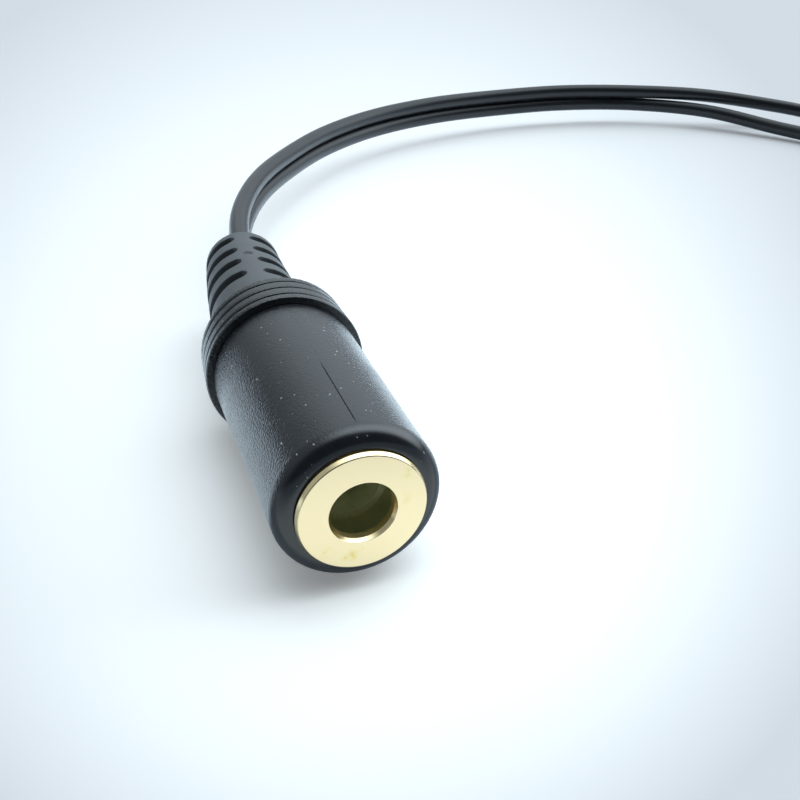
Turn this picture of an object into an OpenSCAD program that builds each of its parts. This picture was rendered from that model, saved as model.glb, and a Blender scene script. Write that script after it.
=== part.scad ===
// Inline 3.5 mm stereo jack socket with two short leads ending in phono plugs.
// The socket lies along Y with its mouth towards -Y. The table is the plane z = 0.

/* [Jack mouth] */
// Diameter of the hole that takes the jack plug
mouth_d = 3.6; // [3.55:0.05:3.7]
// Diameter of the gilt ring round the mouth
ring_d = 7.05; // [6.7:0.05:7.4]
// How far the ring stands out of the barrel's face
ring_proud = 0.4; // [0.2:0.1:0.8]
// How deep the ring sits in the barrel
ring_seat = 0.8; // [0.5:0.1:1.5]
// Chamfer on the ring's two edges
ring_chamfer = 0.06; // [0.03:0.01:0.1]
// Length of the ring's own narrow lip
lip_l = 0.7; // [0.5:0.1:1]
// How much the bore widens behind the lip, on each side
undercut = 0.4; // [0.2:0.05:0.5]
// Length of the bush, from the mouth
bush_l = 5.4; // [4.5:0.1:6.2]
// Thickness of the bush's wall round the carrier
bush_wall = 0.5; // [0.4:0.05:0.7]
// Gap round the bush in the barrel's bore
bush_clear = 0.35; // [0.2:0.05:0.45]

/* [Contact carrier] */
// Where the carrier's own bore begins, from the mouth
carrier_start = 2.6; // [2:0.1:3.2]
// Length of the carrier's guiding bore
guide_l = 5; // [4:0.1:5.6]
// How much the bore widens round the contacts, on each side
chamber_clear = 0.2; // [0.1:0.05:0.3]
// Room in the carrier behind the tip contact
tip_room = 2.4; // [2:0.1:2.8]
// Thickness of the carrier's end wall
carrier_wall = 0.5; // [0.3:0.1:0.8]
// Gap round the carrier in the barrel's bore
carrier_clear = 0.1; // [0.05:0.05:0.15]

/* [Contact springs] */
// Width of the contact strips
spring_w = 1.3; // [1:0.1:1.6]
// Thickness of the contact strips
spring_t = 0.3; // [0.2:0.05:0.4]
// Gap beside the strips in their windows
spring_clear = 0.15; // [0.1:0.05:0.25]
// How deep the strips' roots lie in the carrier
spring_depth = 0.45; // [0.4:0.05:0.6]
// How far the contact points reach into the mouth's outline
contact_press = 0.3; // [0.1:0.05:0.4]
// Radius of the strips' rounded noses
nose_r = 0.6; // [0.4:0.1:0.8]
// Where the tip contact touches, from the mouth
tip_at = 12.3; // [12:0.1:12.6]
// Where the ring contact touches, from the mouth
ring_at = 10; // [9.8:0.1:10.4]
// Length of the soldering tails behind the carrier
tail_l = 2; // [1.4:0.1:2.4]
// Thickness of the earth lug
lug_t = 0.4; // [0.3:0.05:0.5]

/* [Barrel] */
// Diameter of the barrel near its face
barrel_front_d = 9.4; // [9:0.1:9.8]
// Diameter of the barrel near the collar
barrel_back_d = 9.6; // [9.2:0.1:9.9]
// Diameter of the barrel's bore
barrel_bore_d = 6.6; // [6.4:0.1:6.8]
// Radius of the barrel's front edge
barrel_edge = 1; // [0.6:0.1:1.1]
// Diameter of the spigot inside the collar
spigot_d = 8.4; // [8:0.1:8.6]
// Length of the spigot
spigot_l = 2.8; // [2.4:0.05:3.2]
// Length of the inner mould behind the soldering tails
mould_back = 1.5; // [1.2:0.1:1.8]

/* [Collar and boot] */
// Diameter of the ribbed collar at its front rib
collar_d = 10.5; // [10.3:0.1:11]
// Diameter of the ribbed collar at its back rib
collar_back_d = 10.2; // [10:0.1:10.4]
// How far the back rib stands off to the side that the leads go
collar_lean = 0.12; // [0:0.02:0.2]
// Gap between the barrel and the collar
collar_gap = 0.1; // [0.05:0.05:0.4]
// Thickness of the collar's back wall
collar_back = 0.75; // [0.5:0.05:1]
// Number of ribs round the collar
collar_ribs = 4; // [3:1:5]
// Width of the first and the last rib
end_rib_w = 0.55; // [0.4:0.05:0.7]
// Width of the grooves between the ribs
collar_groove_w = 0.2; // [0.16:0.02:0.3]
// Depth of the grooves between the ribs
collar_groove = 0.35; // [0.2:0.05:0.45]
// Chamfer on the ribs' edges
rib_chamfer = 0.1; // [0.05:0.05:0.15]
// Chamfer on the collar's front edge
collar_edge = 0.2; // [0.1:0.05:0.25]
// Length of the flexible boot behind the collar
boot_l = 14.95; // [14:0.05:17]
// Diameter of the boot at the collar
boot_root_d = 7.6; // [7:0.1:8]
// Diameter of the boot at its free end
boot_tip_d = 5.8; // [5.4:0.1:6.2]
// Rounding of the boot's free end
boot_edge = 0.5; // [0.2:0.1:0.7]
// Number of slots on each side
boot_slots = 4; // [3:1:5]
// Centre of the first slot, from the collar
slot_start = 5.4; // [5:0.05:6]
// Centre of the last slot, from the boot's free end
slot_end = 1.75; // [1.4:0.05:2.2]
// Width of the slots
slot_w = 0.8; // [0.6:0.05:1]
// Wall left round the leads inside the slots
slot_core_wall = 0.44; // [0.3:0.02:0.6]
// Width of the spines along the top and bottom of the boot
spine_w = 1.4; // [1.1:0.1:1.8]
// Sideways bend of the boot, in degrees for each millimetre
boot_bend = 0.5; // [0.3:0.05:0.7]
// Diameter of the small moulding mark on the boot
mark_d = 0.8; // [0.6:0.1:1]
// Depth of the small moulding mark
mark_depth = 0.12; // [0.05:0.01:0.2]

/* [Leads] */
// Diameter of each lead
lead_d = 1.7; // [1.6:0.05:1.8]
// Gap between the two leads where they run together
lead_gap = 0.02; // [0.02:0.01:0.1]
// How far the leads reach into the inner mould
lead_grip = 0.4; // [0.2:0.1:0.6]
// Diameter of the insulated inner wire
wire_d = 0.8; // [0.6:0.05:0.9]
// Diameter of the bare strands
strand_d = 0.4; // [0.3:0.05:0.5]
// Diameter of the solder joints in the socket
solder_d = 1.2; // [1:0.1:1.3]

/* [Phono plugs] */
// Diameter of the centre pin
pin_d = 3.2; // [3.1:0.05:3.3]
// Length of the pin in front of the insulator
pin_l = 14.5; // [13.5:0.1:15.5]
// How much thicker the pin is inside the insulator, on each side
pin_root = 0.25; // [0.2:0.05:0.4]
// Inner diameter of the earth shell
shell_bore_d = 8.3; // [8.2:0.05:8.5]
// Thickness of the shell's wall
shell_t = 0.45; // [0.3:0.05:0.55]
// Length of the shell in front of the grip
shell_l = 9; // [8:0.1:10]
// How deep the shell's back wall lies in the grip
shell_seat = 7; // [6.5:0.1:7.5]
// Number of slots in the shell
shell_slots = 4; // [3:1:6]
// Width of the slots in the shell
shell_slot_w = 1; // [0.6:0.1:1.2]
// Length of the slots in the shell
shell_slot_l = 7; // [5:0.1:7.5]
// How far the insulator's face lies behind the grip's face
insulator_sunk = 0.5; // [0.2:0.1:1]
// Thickness of the grip's wall round the shell
grip_wall = 1.2; // [1:0.1:1.5]
// Length of the grip
grip_l = 18; // [17:0.5:20]
// Length of the grip's wide front end
flange_l = 6; // [5:0.5:6.5]
// Length of the slope behind the wide front end
flange_slope = 2; // [1.5:0.1:2.5]
// How much thinner the grip is at its waist, on each side
waist_depth = 0.9; // [0.6:0.1:1.1]
// Radius of the shoulder at the back of the grip
shoulder_r = 1.6; // [1:0.1:1.6]
// Number of finger grooves round the waist
finger_grooves = 3; // [2:1:4]
// Width of the finger grooves
finger_groove_w = 0.7; // [0.5:0.1:0.9]
// Depth of the finger grooves
finger_groove = 0.3; // [0.2:0.05:0.4]
// Thickness of the grip's wall round its moulded core
core_wall = 1.3; // [1.1:0.1:1.6]
// Width of the coloured band
band_w = 2; // [1.5:0.1:3]
// Depth of the coloured band in the grip
band_t = 0.6; // [0.4:0.1:0.7]
// Where the coloured band begins, behind the grip's face
band_back = 1.6; // [1:0.1:2]
// Length of the plug's own strain relief
relief_l = 11; // [10:0.5:13]
// Diameter of the strain relief at its free end
relief_tip_d = 4.2; // [3.8:0.1:4.6]
// Diameter of the strain relief at the grip
relief_root_d = 6.4; // [6:0.1:7]
// Number of slots on each side of the strain relief
relief_slots = 4; // [3:1:5]
// Where the relief's first slot begins, from its free end
relief_start = 1.8; // [1.4:0.1:2.2]
// Solid length of the relief between its last slot and the grip
relief_end = 1.2; // [1:0.1:1.6]
// Wall left round the lead inside the relief's slots
relief_wall = 0.5; // [0.4:0.1:0.6]

/* [Hidden] */
$fn = 64;
eps = 0.01;
big = 40;
arc_steps = 8;

// Points of the stretch where one lead rides on the other: x, y, height of the pair's middle
pair_route = [[2.9, 26.8, 5.15], [6.6, 36.2, 4.95], [11.9, 44.6, 4.65], [18.4, 52.2, 4.4],
    [26.4, 58.2, 4.2], [35.6, 62, 4], [45.4, 63.9, 3.7], [55.4, 63.7, 3.6], [65.1, 61.1, 3.4]];
// Points of each lead after they part, down to the table and up towards its plug
left_route = [[73.8, 56.7, 4], [82.8, 52.3, 2.8], [91.4, 47.4, 1.4], [98.6, 40.5, 1.9],
    [102.6, 31.8, 4.4]];
right_route = [[73.2, 55.1, 2.3], [79.4, 47.6, 1.3], [84, 38.7, 1], [87.4, 29.3, 1.1],
    [88.9, 19.7, 3.1]];
// Where the free ends of the left and the right plug lie
plug_x = [103, 89];
plug_y = [22, 10];

// Distances along the socket's axis, all from the mouth
ring_back = ring_proud + ring_seat;
lug_end = bush_l + lug_t;
chamber_start = carrier_start + guide_l;
chamber_end = tip_at + tip_room;
carrier_end = chamber_end + carrier_wall;
tail_end = carrier_end + tail_l;
joint_at = tail_end - solder_d / 2;
spigot_end = tail_end + mould_back;
barrel_end = spigot_end - spigot_l;
collar_start = barrel_end + collar_gap;
collar_end = spigot_end + collar_back;
lead_start = spigot_end - lead_grip;

// Radii round the socket's axis
undercut_r = mouth_d / 2 + undercut;
chamber_r = mouth_d / 2 + chamber_clear;
bush_r = barrel_bore_d / 2 - bush_clear;
nose_bore_r = bush_r - bush_wall;
carrier_r = barrel_bore_d / 2 - carrier_clear;
contact_r = mouth_d / 2 - contact_press;
spring_z = carrier_r - spring_depth;
stack = (lead_d + lead_gap) / 2;
slot_core_r = stack + lead_d / 2 + slot_core_wall;

// The socket's place: its own middle is the origin
axis_z = collar_d / 2;
boot_turn = boot_bend * boot_l;
socket_l = collar_end + bent_y(boot_l) + (boot_tip_d / 2 - boot_edge) * sin(boot_turn);
mouth_y = -socket_l / 2;

// Distances along a plug's axis, all from the free end of its strain relief
plug_face = relief_l + grip_l;
shell_back = plug_face - shell_seat;
insulator_face = plug_face - insulator_sunk;
band_at = plug_face - band_back - band_w;
lead_in = relief_l + 3;
core_start = lead_in - 1.5;
cup_start = shell_back - 2.5;
cup_l = 2;

// Radii round a plug's axis
pin_r = pin_d / 2;
shell_r = shell_bore_d / 2;
shell_out_r = shell_r + shell_t;
grip_r = shell_out_r + grip_wall;
waist_r = grip_r - waist_depth;
core_r = waist_r - core_wall;
neck_r = pin_r + pin_root + 0.15;

// The boot bends along an arc of even curvature
function bent_x(s) = (1 - cos(boot_bend * s)) / (boot_bend * PI / 180);
function bent_y(s) = sin(boot_bend * s) / (boot_bend * PI / 180);
function boot_r(s) = (boot_root_d + (boot_tip_d - boot_root_d) * s / boot_l) / 2;
slot_pitch = (boot_l - slot_start - slot_end) / (boot_slots - 1);
function slot_at(k) = slot_start + k * slot_pitch;
function on_bent_axis(s) = [bent_x(s), mouth_y + collar_end + bent_y(s), axis_z];

// Puts a shape turned about Z on the socket's axis, with its base at a distance from the mouth
module along(from) translate([0, mouth_y + from, axis_z]) rotate([-90, 0, 0]) children();
module turned(points) along(0) rotate_extrude() polygon(points);

// Carries a shape along the bent boot, turned with it
module on_boot(s) translate(on_bent_axis(s)) rotate([0, 0, -boot_bend * s]) rotate([-90, 0, 0]) children();

// Places a shape turned about Z on a plug's axis, its free end at the lead and its tip at -Y
module on_plug(side) translate([plug_x[side], plug_y[side], grip_r]) rotate([90, 0, 0]) children();

// Arc from one angle to the next, about a centre
function arc(cx, cy, r, a0, a1) =
    [for (i = [0:arc_steps]) let (a = a0 + (a1 - a0) * i / arc_steps)
        [cx + r * cos(a), cy + r * sin(a)]];

function unit(v) = v / norm(v);

module sleeve_bush() {
    ring_r = ring_d / 2;
    mouth_r = mouth_d / 2;
    color("gold") turned([
        [mouth_r, ring_chamfer], [mouth_r + ring_chamfer, 0], [ring_r - ring_chamfer, 0],
        [ring_r, ring_chamfer], [ring_r, ring_back], [bush_r, ring_back], [bush_r, bush_l],
        [nose_bore_r, bush_l], [nose_bore_r, carrier_start], [undercut_r, carrier_start],
        [undercut_r, lip_l], [mouth_r, lip_l]]);
}

module front_barrel() {
    front_r = barrel_front_d / 2;
    ring_r = ring_d / 2;
    bore_r = barrel_bore_d / 2;
    land = 0.1;
    edge = min(barrel_edge, front_r - ring_r - land);
    color([0.16, 0.17, 0.18]) turned(concat(
        [[ring_r, ring_proud]],
        arc(front_r - edge, ring_proud + edge, edge, -90, 0),
        [[barrel_back_d / 2, barrel_end], [spigot_d / 2, barrel_end], [spigot_d / 2, spigot_end],
        [bore_r, spigot_end], [bore_r, ring_back], [ring_r, ring_back]]));
}

// Windows for the springs: wide over the chamber, as narrow as the strip in the end wall
module spring_window(at, side) {
    free_end = at - 2 * nose_r - spring_clear;
    root_bottom = spring_z - spring_t / 2;
    translate([0, mouth_y, axis_z]) scale([1, 1, side]) {
        translate([-spring_w / 2 - spring_clear, free_end, chamber_r / 2])
            cube([spring_w + 2 * spring_clear, chamber_end - free_end, carrier_r]);
        translate([-spring_w / 2, chamber_end - eps, root_bottom])
            cube([spring_w, carrier_wall + 1, carrier_r]);
    }
}

module contact_carrier() {
    color([0.75, 0.74, 0.66]) difference() {
        turned([[mouth_d / 2, carrier_start], [nose_bore_r, carrier_start], [nose_bore_r, lug_end],
            [carrier_r, lug_end], [carrier_r, carrier_end], [0, carrier_end],
            [0, chamber_end], [chamber_r, chamber_end], [chamber_r, chamber_start],
            [mouth_d / 2, chamber_start]]);
        spring_window(tip_at, 1);
        spring_window(ring_at, -1);
        translate([carrier_r - lug_t, mouth_y + lug_end - 1, axis_z - spring_w / 2])
            cube([lug_t + 1, carrier_end, spring_w]);
    }
}

// Line beside a path at a distance, with mitred corners
function edge_normal(path, i) = let (d = unit(path[i + 1] - path[i])) [-d.y, d.x];
function beside(path, off) = let (n = len(path) - 1) [for (i = [0:n])
    let (a = edge_normal(path, max(i - 1, 0)), b = edge_normal(path, min(i, n - 1)), m = unit(a + b))
    path[i] + off / (m * a) * m];

// A strip bent in its own plane: a lifted free end, a round nose, a slope and a straight root
module spring(at, side) {
    nose_z = contact_r + spring_t / 2;
    bend_at = chamber_end - spring_t;
    slope = atan2(spring_z - nose_z, bend_at - at);
    nose = arc(at, nose_z + nose_r, nose_r, -135, slope - 90);
    path = concat([nose[0] + nose_r / 2 * [-1, 1]], nose, [[bend_at, spring_z], [tail_end, spring_z]]);
    down = beside(path, -spring_t / 2);
    translate([-spring_w / 2, mouth_y, axis_z]) scale([1, 1, side])
        rotate([90, 0, 90]) linear_extrude(spring_w)
        polygon(concat(beside(path, spring_t / 2), [for (i = [len(down) - 1:-1:0]) down[i]]));
}

module tip_spring() {
    color("goldenrod") spring(tip_at, 1);
}

module ring_spring() {
    color("goldenrod") spring(ring_at, -1);
}

// A washer behind the bush, with a strip that runs back to its own soldering tail
module earth_lug() {
    color("silver") difference() {
        union() {
            along(bush_l) cylinder(h = lug_t, r = carrier_r);
            translate([carrier_r - lug_t, mouth_y + bush_l, axis_z - spring_w / 2])
                cube([lug_t, tail_end - bush_l, spring_w]);
        }
        along(bush_l - 1) cylinder(h = lug_t + 2, r = nose_bore_r);
    }
}

// A round wire from one point to another, given as [x, distance from the mouth, height above axis]
module wire(a, b, d) {
    v = b - a;
    translate([a.x, mouth_y + a.y, axis_z + a.z])
        rotate([0, acos(v.z / norm(v)), atan2(v.y, v.x)]) cylinder(h = norm(v), d = d);
}

// Where the wires are soldered: under the tip strip, over the ring strip and inside the earth strip
tip_joint = [0, joint_at, spring_z - spring_t / 2 - strand_d / 2];
ring_joint = [0, joint_at, -tip_joint.z];
earth_joint = [carrier_r - lug_t - strand_d / 2, joint_at, 0];

// The left lead is side 0 and rides on the right one, side 1
function up(side) = side == 0 ? 1 : -1;

module core_wire(side) {
    color("ivory") difference() {
        wire([0, lead_start, up(side) * stack], side == 0 ? tip_joint : ring_joint, strand_d);
        lead_part(side, 0, 2);
    }
}

module shield_tail(side) {
    end = earth_joint + [0, 0, up(side) * strand_d / 2];
    color("peru") difference() {
        wire([lead_d / 4, lead_start, up(side) * stack], end, strand_d);
        lead_part(side, 0, 2);
    }
}

module left_core_wire() core_wire(0);
module right_core_wire() core_wire(1);
module left_shield_tail() shield_tail(0);
module right_shield_tail() shield_tail(1);

// A drop of solder on the inner side of a tail, cut flat where it wets the strip
module solder_drop(joint, spin, strip_at) {
    difference() {
        translate([joint.x, mouth_y + joint.y, axis_z + joint.z]) sphere(d = solder_d);
        translate([0, mouth_y + joint_at, axis_z]) rotate([0, spin, 0])
            translate([strip_at, -solder_d, -solder_d]) cube(2 * solder_d);
    }
}

module solder_drops() {
    solder_drop(tip_joint, -90, spring_z - spring_t / 2);
    solder_drop(ring_joint, 90, spring_z - spring_t / 2);
    solder_drop(earth_joint, 0, carrier_r - lug_t);
}

module bare_ends() {
    for (side = [0, 1]) {
        core_wire(side);
        shield_tail(side);
    }
}

module solder_joints() {
    color("lightgray") difference() {
        solder_drops();
        bare_ends();
    }
}

// Moulded round the soldered tails, behind the carrier
module inner_mould() {
    color([0.85, 0.85, 0.8]) difference() {
        along(carrier_end) cylinder(h = spigot_end - carrier_end, d = barrel_bore_d);
        tip_spring();
        ring_spring();
        earth_lug();
        solder_drops();
        bare_ends();
        for (side = [0, 1]) lead_part(side, 0, 2);
    }
}

// Ribbed collar: its end ribs are narrower, and each rib leans further to the side than the last
module collar_body() {
    last = collar_ribs - 1;
    rib_w = (collar_end - collar_start - 2 * end_rib_w - last * collar_groove_w) / (last - 1);
    front_r = collar_d / 2;
    back_r = collar_back_d / 2;
    wall_start = collar_start + end_rib_w / 2;
    wall_end = collar_end - end_rib_w / 2;
    difference() {
        union() {
            turned([[0, wall_start], [front_r - collar_groove, wall_start],
                [back_r - collar_groove, wall_end], [0, wall_end]]);
            for (k = [0:last]) let (share = k / last, r = front_r + (back_r - front_r) * share,
                y0 = collar_start + (k == 0 ? 0 : end_rib_w - rib_w + k * (rib_w + collar_groove_w)),
                y1 = y0 + (k % last == 0 ? end_rib_w : rib_w), edge = k == 0 ? collar_edge : rib_chamfer)
                translate([collar_lean * share, 0, 0]) turned([[0, y0], [r - edge, y0],
                    [r, y0 + edge], [r, y1 - rib_chamfer], [r - rib_chamfer, y1], [0, y1]]);
        }
        along(collar_start - 1) cylinder(h = spigot_end - collar_start + 1, d = spigot_d);
    }
}

// A stretch of the boot between two distances from the collar
module boot_rib(s0, s1, edge) {
    half = (s1 - s0) / 2;
    r1 = boot_r(s1);
    round_r = min(edge, half);
    on_boot(s0 + half) rotate_extrude() polygon(concat(
        [[0, -half], [boot_r(s0), -half]],
        edge > 0 ? arc(r1 - round_r, half - round_r, round_r, 0, 90) : [[r1, half]],
        [[0, half]]));
}

// Core and spines that bridge one slot, let a little into the ribs beside it
module slot_bridge(s) {
    sunk = 0.3;
    spine_drop = 0.06;
    long = slot_w + 2 * sunk;
    wide = spine_w + slot_w;
    on_boot(s) translate([0, 0, -long / 2]) {
        cylinder(h = long, r = slot_core_r);
        intersection() {
            cylinder(h = long, r = boot_r(s) - spine_drop);
            translate([-wide / 2, -big / 2, 0]) cube([wide, big, long]);
        }
    }
}

// A slot on each side of a sleeve: round where it ends beside a spine, and as deep as the core
module slot_pair(core) {
    half = slot_w / 2;
    round_end = arc(spine_w / 2 + half, 0, half, 90, 270);
    difference() {
        for (way = [-1, 1]) scale([way, 1, 1]) rotate([90, 0, 0]) translate([0, 0, -big / 2])
            linear_extrude(big) polygon(concat(round_end, [[big / 2, -half], [big / 2, half]]));
        translate([0, 0, -slot_w]) cylinder(h = 2 * slot_w, r = core);
    }
}

module rear_boot() {
    last = boot_slots - 1;
    mark_at = slot_at(last / 2);
    color([0.24, 0.25, 0.26]) difference() {
        union() {
            collar_body();
            boot_rib(-collar_back / 2, slot_at(0) - slot_w / 2, 0);
            for (k = [1:last]) boot_rib(slot_at(k - 1) + slot_w / 2, slot_at(k) - slot_w / 2, 0);
            boot_rib(slot_at(last) + slot_w / 2, boot_l, boot_edge);
            for (k = [0:last]) slot_bridge(slot_at(k));
        }
        for (k = [0:last]) on_boot(slot_at(k)) slot_pair(slot_core_r);
        for (side = [0, 1]) lead_part(side, 0, 6);
        on_boot(mark_at) translate([0, mark_depth - boot_r(mark_at), 0])
            rotate([90, 0, 0]) cylinder(h = 1, d = mark_d);
    }
}

// A lead follows the boot's bend, its own free points and then its plug's axis
function route(side) = let (lift = [0, 0, up(side) * stack]) concat(
    [for (s = [lead_start - collar_end, boot_l / 2, boot_l]) on_bent_axis(s) + lift],
    [for (p = pair_route) p + lift],
    side == 0 ? left_route : right_route,
    [for (d = [0, lead_in / 2, lead_in]) [plug_x[side], plug_y[side] - d, grip_r]]);

// Smooth curve through the route's points, two steps from each to the next
function curve_point(p0, p1, p2, p3, t) = 0.5 * (2 * p1 + (p2 - p0) * t
    + (2 * p0 - 5 * p1 + 4 * p2 - p3) * t * t + (3 * p1 - p0 - 3 * p2 + p3) * t * t * t);
function smooth(r) = let (n = len(r) - 1) concat([for (i = [0:n - 1]) for (t = [0, 0.5])
    curve_point(r[max(i - 1, 0)], r[i], r[i + 1], r[min(i + 2, n)], t)], [r[n]]);

// Eight-sided rings square to the curve, flat side down
sides = 8;
function ring_points(c, i) = let (n = len(c) - 1, t = unit(c[min(i + 1, n)] - c[max(i - 1, 0)]),
    u = unit(cross(t, [0, 0, 1])), v = cross(u, t), half = 180 / sides, r = lead_d / 2 / cos(half))
    [for (k = [0:sides - 1]) let (a = (2 * k + 1) * half) c[i] + r * (cos(a) * u + sin(a) * v)];

module sweep(rings) {
    last = len(rings) - 1;
    walls = [for (i = [0:last - 1]) for (k = [0:sides - 1]) let (a = sides * i, j = (k + 1) % sides)
        [a + k, a + j, a + sides + j, a + sides + k]];
    polyhedron([for (r = rings) each r],
        concat(walls, [[for (k = [sides - 1:-1:0]) k], [for (k = [0:sides - 1]) sides * last + k]]));
}

// The stretch of a lead between two of its rings
module lead_part(side, first, last) {
    c = smooth(route(side));
    sweep([for (i = [first:last]) ring_points(c, i)]);
}

function last_ring(side) = len(smooth(route(side))) - 1;

module left_lead() color([0.15, 0.16, 0.17]) lead_part(0, 0, last_ring(0));
module right_lead() color([0.15, 0.16, 0.17]) lead_part(1, 0, last_ring(1));

// The last rings of a lead, inside its plug
module plug_lead(side) lead_part(side, last_ring(side) - 6, last_ring(side));

module plug_grip(side) {
    slope_at = plug_face - flange_l - flange_slope;
    root_r = relief_root_d / 2;
    edge = min(shoulder_r, waist_r - root_r);
    face_chamfer = 0.4;
    pitch = (slope_at - relief_l - edge) / (finger_grooves + 1);
    grooves = [for (k = [1:finger_grooves]) let (c = relief_l + edge + k * pitch) each
        [[waist_r, c - finger_groove_w / 2], [waist_r - finger_groove, c - finger_groove_w / 4],
        [waist_r - finger_groove, c + finger_groove_w / 4], [waist_r, c + finger_groove_w / 2]]];
    color([0.16, 0.16, 0.17]) difference() {
        on_plug(side) rotate_extrude() polygon(concat(
            [[0, 0], [relief_tip_d / 2, 0], [root_r, relief_l]],
            arc(waist_r - edge, relief_l + edge, edge, -90, 0), grooves,
            [[waist_r, slope_at], [grip_r, slope_at + flange_slope],
            [grip_r, band_at], [grip_r - band_t, band_at], [grip_r - band_t, band_at + band_w],
            [grip_r, band_at + band_w], [grip_r, plug_face - face_chamfer],
            [grip_r - face_chamfer, plug_face], [0, plug_face]]));
        on_plug(side) {
            translate([0, 0, shell_back - shell_t]) cylinder(h = big, r = shell_out_r);
            translate([0, 0, core_start]) cylinder(h = shell_back - core_start, r = core_r);
            relief_cuts();
        }
        plug_lead(side);
    }
}

// Pairs of slots along the relief, which leave a spine above and below
module relief_cuts() {
    first = relief_start + slot_w / 2;
    pitch = (relief_l - relief_end - slot_w / 2 - first) / (relief_slots - 1);
    for (k = [0:relief_slots - 1]) translate([0, 0, first + k * pitch])
        slot_pair(lead_d / 2 + relief_wall);
}

module colour_band(side, shade) {
    color(shade) on_plug(side) rotate_extrude() polygon([[grip_r - band_t, band_at],
        [grip_r, band_at], [grip_r, band_at + band_w], [grip_r - band_t, band_at + band_w]]);
}

// Slotted cup with a hole in its back wall and a tab bent in to the lead's screen
module earth_shell(side) {
    mouth = plug_face + shell_l;
    chamfer = shell_t / 2;
    tab_at = shell_out_r / 2;
    tab_w = 1.8;
    foot_at = wire_d / 2 + 0.1;
    color("silver") on_plug(side) difference() {
        union() {
            rotate_extrude() polygon([[neck_r, shell_back - shell_t],
                [shell_out_r, shell_back - shell_t], [shell_out_r, mouth - chamfer],
                [shell_out_r - chamfer, mouth], [shell_r, mouth], [shell_r, shell_back],
                [neck_r, shell_back]]);
            translate([tab_at, -tab_w / 2, lead_in])
                cube([shell_t, tab_w, shell_back - shell_t / 2 - lead_in]);
            translate([foot_at, -tab_w / 2, lead_in]) cube([tab_at - foot_at + eps, tab_w, shell_t]);
        }
        for (k = [0:shell_slots - 1]) rotate([0, 0, (k + 0.5) * 360 / shell_slots])
            translate([shell_r - 1, -shell_slot_w / 2, mouth - shell_slot_l])
            cube([shell_t + 2, shell_slot_w, big]);
    }
}

// Outline of the pin behind the insulator's face: solder cup, root and a flange that holds it
cup_r = strand_d / 2 + 1;
root_r = pin_r + pin_root;
root_at = shell_back + 1;
flange_r = root_r + 0.35;
flange_at = root_at + 1;
flange_t = 0.8;
root_outline = [[cup_r, root_at], [root_r, root_at], [root_r, flange_at], [flange_r, flange_at],
    [flange_r, flange_at + flange_t], [root_r, flange_at + flange_t], [root_r, insulator_face]];

module centre_pin(side) {
    tip = insulator_face + pin_l;
    color("silver") on_plug(side) rotate_extrude() polygon(concat(
        [[strand_d / 2, cup_start], [cup_r, cup_start]], root_outline, [[pin_r, insulator_face]],
        arc(0, tip - pin_r, pin_r, 0, 90), [[0, cup_start + cup_l], [strand_d / 2, cup_start + cup_l]]));
}

module pin_insulator(side) {
    neck_at = shell_back - 1;
    color("whitesmoke") on_plug(side) rotate_extrude() polygon(concat(
        [[neck_r, neck_at], [neck_r, shell_back], [shell_r, shell_back], [shell_r, insulator_face]],
        [for (i = [len(root_outline) - 1:-1:0]) root_outline[i]], [[cup_r, neck_at]]));
}

module plug_core(side) {
    color([0.85, 0.85, 0.8]) difference() {
        on_plug(side) translate([0, 0, core_start])
            cylinder(h = shell_back - shell_t - core_start, r = core_r);
        earth_shell(side);
        centre_pin(side);
        pin_insulator(side);
        plug_wire(side);
        plug_lead(side);
    }
}

module plug_wire(side) {
    color("ivory") on_plug(side) {
        translate([0, 0, lead_in]) cylinder(h = cup_start - lead_in, d = wire_d);
        translate([0, 0, cup_start - eps]) cylinder(h = cup_l + eps, d = strand_d);
    }
}

module left_plug_grip() plug_grip(0);
module left_colour_band() colour_band(0, "white");
module left_earth_shell() earth_shell(0);
module left_centre_pin() centre_pin(0);
module left_pin_insulator() pin_insulator(0);
module left_plug_core() plug_core(0);
module left_plug_wire() plug_wire(0);
module right_plug_grip() plug_grip(1);
module right_colour_band() colour_band(1, "red");
module right_earth_shell() earth_shell(1);
module right_centre_pin() centre_pin(1);
module right_pin_insulator() pin_insulator(1);
module right_plug_core() plug_core(1);
module right_plug_wire() plug_wire(1);

sleeve_bush();
front_barrel();
contact_carrier();
tip_spring();
ring_spring();
earth_lug();
left_core_wire();
right_core_wire();
left_shield_tail();
right_shield_tail();
solder_joints();
inner_mould();
rear_boot();
left_lead();
right_lead();
left_plug_grip();
left_colour_band();
left_earth_shell();
left_centre_pin();
left_pin_insulator();
left_plug_core();
left_plug_wire();
right_plug_grip();
right_colour_band();
right_earth_shell();
right_centre_pin();
right_pin_insulator();
right_plug_core();
right_plug_wire();
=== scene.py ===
import math

import bmesh
import bpy
import numpy as np
from mathutils import Matrix, Vector


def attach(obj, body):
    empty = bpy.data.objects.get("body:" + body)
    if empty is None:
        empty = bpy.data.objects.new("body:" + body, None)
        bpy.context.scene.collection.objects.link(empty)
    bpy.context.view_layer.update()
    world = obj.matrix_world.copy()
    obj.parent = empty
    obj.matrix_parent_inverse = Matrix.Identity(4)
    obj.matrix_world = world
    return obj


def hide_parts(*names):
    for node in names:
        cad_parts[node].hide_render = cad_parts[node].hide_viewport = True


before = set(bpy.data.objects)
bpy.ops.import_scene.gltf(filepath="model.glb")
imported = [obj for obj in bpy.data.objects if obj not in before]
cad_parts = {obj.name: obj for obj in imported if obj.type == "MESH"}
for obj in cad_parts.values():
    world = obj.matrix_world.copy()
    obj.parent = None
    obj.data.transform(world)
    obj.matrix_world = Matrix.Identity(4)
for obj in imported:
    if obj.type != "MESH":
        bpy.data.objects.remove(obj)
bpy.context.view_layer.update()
scene = bpy.context.scene
mm = 0.001
tau = 2 * math.pi


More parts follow.
